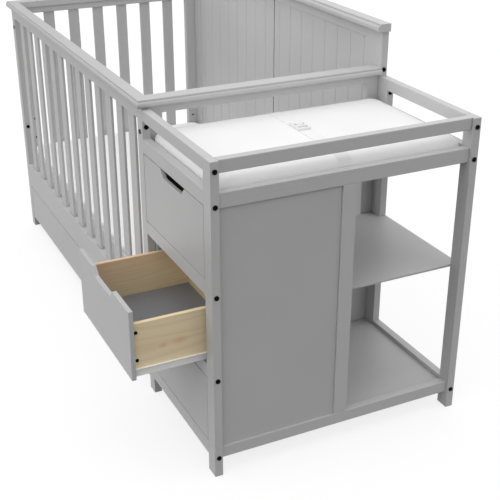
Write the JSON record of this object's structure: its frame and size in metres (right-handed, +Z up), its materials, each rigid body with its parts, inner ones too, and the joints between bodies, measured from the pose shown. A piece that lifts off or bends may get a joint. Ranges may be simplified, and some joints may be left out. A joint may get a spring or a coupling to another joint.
{
  "type": "crib with attached changer",
  "caption": "Slatted crib joined to a changing table with a padded top, front drawers, open end shelves and a long drawer under the mattress.",
  "frame": {"origin": "bottom centre of the whole object, with the middle drawer open as pictured", "axes": "+X along the object's length from the crib to the changer, +Y to the back, +Z up; the drawers open towards -Y"},
  "size_m": [1.86, 0.954, 1.029],
  "materials": {
    "grey_paint": "satin grey paint over solid wood and board",
    "pine": "bare sanded pine",
    "grey_board": "grey laminated fibreboard",
    "white_metal": "white powder coat",
    "white_nylon": "matte nylon",
    "mattress_cover": "white woven cover",
    "pad_cover": "white coated cloth",
    "belt_webbing": "white webbing",
    "black_steel": "black oxide"
  },
  "bodies": {
    "crib_frame": {"front_left_post": "grey_paint", "front_right_post": "grey_paint", "front_top_rail": "grey_paint", "front_bottom_rail": "grey_paint", "front_slats": "grey_paint", "front_cap": "grey_paint", "end_caps": "grey_paint", "left_end_frame": "grey_paint", "left_end_slats": "grey_paint", "right_end_frame": "grey_paint", "right_end_slats": "grey_paint", "back_left_post": "grey_paint", "back_right_post": "grey_paint", "back_frame": "grey_paint", "back_panels": "grey_paint", "back_crown": "grey_paint", "mattress_frame": "pine", "mattress_slats": "pine", "support_brackets": "white_metal", "mattress": "mattress_cover", "crib_drawer_tracks": "white_metal", "changer_front_post": "grey_paint", "changer_back_post": "grey_paint", "changer_inner_post": "grey_paint", "guard_rails": "grey_paint", "drawer_rails": "grey_paint", "back_lower_rails": "grey_paint", "end_rails": "grey_paint", "changer_tray": "grey_paint", "end_panel": "grey_paint", "centre_stile": "grey_paint", "partition": "grey_paint", "inner_side_panel": "grey_paint", "bottom_shelf": "grey_paint", "middle_shelf": "grey_paint", "shelf_cleats": "grey_paint", "drawer_tracks": "white_metal", "changing_pad": "pad_cover", "safety_belt": "belt_webbing", "bolts": "black_steel"},
    "crib_drawer": {"crib_drawer_front": "grey_paint", "crib_drawer_box": "pine", "crib_drawer_bottom": "grey_board", "crib_drawer_runners": "white_metal"},
    "crib_drawer_wheels": {"crib_drawer_rollers": "white_nylon"},
    "top_drawer": {"top_drawer_front": "grey_paint", "top_drawer_box": "pine", "top_drawer_bottom": "grey_board", "top_drawer_runners": "white_metal"},
    "top_drawer_wheels": {"top_drawer_rollers": "white_nylon"},
    "middle_drawer": {"middle_drawer_front": "grey_paint", "middle_drawer_box": "pine", "middle_drawer_bottom": "grey_board", "middle_drawer_runners": "white_metal"},
    "middle_drawer_wheels": {"middle_drawer_rollers": "white_nylon"},
    "bottom_drawer": {"bottom_drawer_front": "grey_paint", "bottom_drawer_box": "pine", "bottom_drawer_bottom": "grey_board", "bottom_drawer_runners": "white_metal"},
    "bottom_drawer_wheels": {"bottom_drawer_rollers": "white_nylon"}
  },
  "joints": [
    {"name": "crib_drawer_slide", "type": "slide", "parent": "crib_frame", "child": "crib_drawer", "axis": [0, -1, 0], "range_m": [0, 0.4]},
    {"name": "crib_drawer_roll", "type": "hinge", "parent": "crib_drawer", "child": "crib_drawer_wheels", "pos_m": [-0.2145, 0.286, 0.058], "axis": [1, 0, 0], "continuous": true},
    {"name": "top_drawer_slide", "type": "slide", "parent": "crib_frame", "child": "top_drawer", "axis": [0, -1, 0], "range_m": [0, 0.22]},
    {"name": "top_drawer_roll", "type": "hinge", "parent": "top_drawer", "child": "top_drawer_wheels", "pos_m": [0.6935, 0.026, 0.5795], "axis": [1, 0, 0], "continuous": true},
    {"name": "middle_drawer_slide", "type": "slide", "parent": "crib_frame", "child": "middle_drawer", "axis": [0, -1, 0], "range_m": [-0.197, 0.023]},
    {"name": "middle_drawer_roll", "type": "hinge", "parent": "middle_drawer", "child": "middle_drawer_wheels", "pos_m": [0.6935, -0.171, 0.344], "axis": [1, 0, 0], "continuous": true},
    {"name": "bottom_drawer_slide", "type": "slide", "parent": "crib_frame", "child": "bottom_drawer", "axis": [0, -1, 0], "range_m": [0, 0.22]},
    {"name": "bottom_drawer_roll", "type": "hinge", "parent": "bottom_drawer", "child": "bottom_drawer_wheels", "pos_m": [0.6935, 0.026, 0.1085], "axis": [1, 0, 0], "continuous": true}
  ]
}
